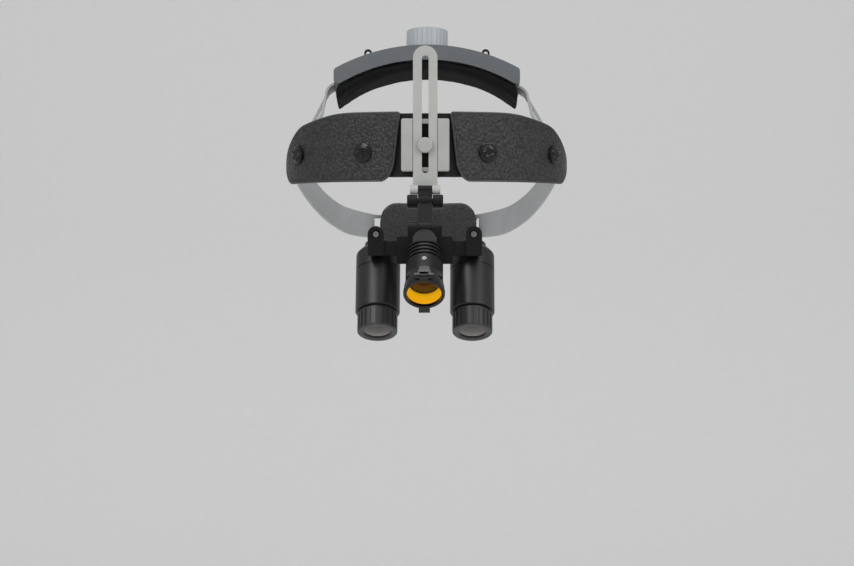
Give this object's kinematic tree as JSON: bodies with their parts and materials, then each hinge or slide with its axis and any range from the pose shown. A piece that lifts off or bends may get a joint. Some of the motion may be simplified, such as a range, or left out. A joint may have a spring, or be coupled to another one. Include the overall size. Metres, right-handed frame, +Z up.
{
  "type": "headband dental loupes",
  "caption": "Headband with leather brow pad and crown strap, carrying tilted binocular loupes and a finned headlight with an amber flip filter on a slotted height bar.",
  "frame": {"origin": "centre of the head opening, at the height of the headband", "axes": "+Z up as worn; the wearer looks along -Y; the wearer's left is +X"},
  "size_m": [0.1864, 0.2987, 0.2098],
  "materials": {
    "black_plastic": "satin moulded",
    "leather": "pebbled grain",
    "cushion_leather": "soft grain",
    "foam": "open-cell foam",
    "strap_plastic": "smooth flexible",
    "shell_plastic": "smooth moulded",
    "knob_plastic": "fluted moulded",
    "bracket_metal": "fine satin",
    "bar_metal": "fine satin",
    "steel": "turned",
    "black_metal": "black anodised",
    "black_gloss": "glossy moulded",
    "black_ring": "ribbed grip",
    "lens_glass": "coated",
    "amber_glass": "amber filter",
    "led": "LED board"
  },
  "bodies": {
    "headband": {"front_band": "black_plastic", "forehead_cushion": "cushion_leather", "leather_flap_left": "leather", "leather_flap_right": "leather", "snap_rivets": "black_gloss", "rear_strap_left": "strap_plastic", "rear_strap_right": "strap_plastic", "rear_housing": "black_plastic", "rear_cover": "black_plastic", "nape_pad": "cushion_leather", "crown_strap_left": "strap_plastic", "crown_strap_right": "strap_plastic", "crown_shell": "shell_plastic", "crown_foam": "foam", "cable_clips": "black_metal", "strap_rivets": "steel", "bracket_plate": "bracket_metal", "bracket_screws": "steel", "clamp_stud": "steel"},
    "crown_dial": {"crown_knob": "knob_plastic", "crown_pinion": "knob_plastic", "crown_dial_screw": "steel"},
    "rear_dial": {"rear_knob": "knob_plastic", "rear_pinion": "knob_plastic", "rear_dial_screw": "steel"},
    "clamp": {"clamp_knob": "bracket_metal"},
    "height_bar": {"slotted_bar": "bar_metal", "hinge_pin_upper": "steel"},
    "upper_link": {"upper_link": "black_metal", "middle_axle": "black_metal"},
    "lower_link": {"lower_link": "black_metal"},
    "bridge": {"bridge": "black_metal", "hinge_pin_lower": "steel", "lamp_pivot_pin": "steel"},
    "arm_left": {"pd_arm_left": "black_metal", "mount_block_left": "black_metal", "pivot_screw_left": "steel"},
    "arm_right": {"pd_arm_right": "black_metal", "pivot_screw_right": "steel"},
    "loupe_left": {"loupe_barrel_left": "black_metal", "eyepiece_cap_left": "black_metal", "eyepiece_lens_left": "lens_glass", "prism_pair_left": "lens_glass"},
    "loupe_right": {"loupe_barrel_right": "black_metal", "eyepiece_cap_right": "black_metal", "eyepiece_lens_right": "lens_glass", "prism_pair_right": "lens_glass"},
    "focus_left": {"focus_ring_left": "black_ring", "objective_lens_left": "lens_glass"},
    "focus_right": {"focus_ring_right": "black_ring", "objective_lens_right": "lens_glass"},
    "lamp": {"lamp_body": "black_metal", "lamp_screw": "steel", "cable_socket": "black_metal", "led_module": "led", "lamp_lens": "lens_glass", "lamp_bezel": "black_gloss"},
    "filter": {"filter_frame": "black_gloss", "filter_glass": "amber_glass"}
  },
  "joints": [
    {"name": "crown_dial_turn", "type": "hinge", "parent": "headband", "child": "crown_dial", "pos_m": [0, -0.005, 0], "axis": [0, 0.1908, 0.9816], "continuous": true},
    {"name": "rear_dial_turn", "type": "hinge", "parent": "headband", "child": "rear_dial", "pos_m": [0, 0.10227, -0.046], "axis": [0, 1, 0], "continuous": true},
    {"name": "clamp_turn", "type": "hinge", "parent": "headband", "child": "clamp", "pos_m": [0, -0.109, 0.0019], "axis": [0, -1, 0], "range_deg": [0, 360]},
    {"name": "height_slide", "type": "slide", "parent": "headband", "child": "height_bar", "axis": [0, 0, 1], "range_m": [-0.054, 0.014]},
    {"name": "upper_hinge", "type": "hinge", "parent": "height_bar", "child": "upper_link", "pos_m": [0, -0.113, -0.0267], "axis": [1, 0, 0], "range_deg": [-80, 5]},
    {"name": "middle_hinge", "type": "hinge", "parent": "upper_link", "child": "lower_link", "pos_m": [0, -0.114, -0.0342], "axis": [1, 0, 0], "range_deg": [-20, 10]},
    {"name": "lower_hinge", "type": "hinge", "parent": "lower_link", "child": "bridge", "pos_m": [0, -0.124, -0.0515], "axis": [1, 0, 0], "range_deg": [-10, 15]},
    {"name": "pupil_left", "type": "slide", "parent": "bridge", "child": "arm_left", "axis": [1, 0, 0], "range_m": [-0.0015, 0.005]},
    {"name": "pupil_right", "type": "slide", "parent": "bridge", "child": "arm_right", "axis": [-1, 0, 0], "range_m": [-0.0015, 0.005]},
    {"name": "converge_left", "type": "hinge", "parent": "arm_left", "child": "loupe_left", "pos_m": [0.031, -0.12, -0.0552], "axis": [0, 1, 0], "range_deg": [-4, 4]},
    {"name": "converge_right", "type": "hinge", "parent": "arm_right", "child": "loupe_right", "pos_m": [-0.031, -0.12, -0.0552], "axis": [0, 1, 0], "range_deg": [-4, 4]},
    {"name": "focus_left_turn", "type": "hinge", "parent": "loupe_left", "child": "focus_left", "pos_m": [0.03, -0.102, -0.0619], "axis": [0, -0.454, -0.891], "range_deg": [-90, 90]},
    {"name": "focus_right_turn", "type": "hinge", "parent": "loupe_right", "child": "focus_right", "pos_m": [-0.03, -0.102, -0.0619], "axis": [0, -0.454, -0.891], "range_deg": [-90, 90]},
    {"name": "lamp_tilt", "type": "hinge", "parent": "bridge", "child": "lamp", "pos_m": [0, -0.1382, -0.0585], "axis": [1, 0, 0], "range_deg": [-15, 12]},
    {"name": "filter_flip", "type": "hinge", "parent": "lamp", "child": "filter", "pos_m": [0, -0.17992, -0.08177], "axis": [1, 0, 0], "range_deg": [-110, 0]}
  ]
}
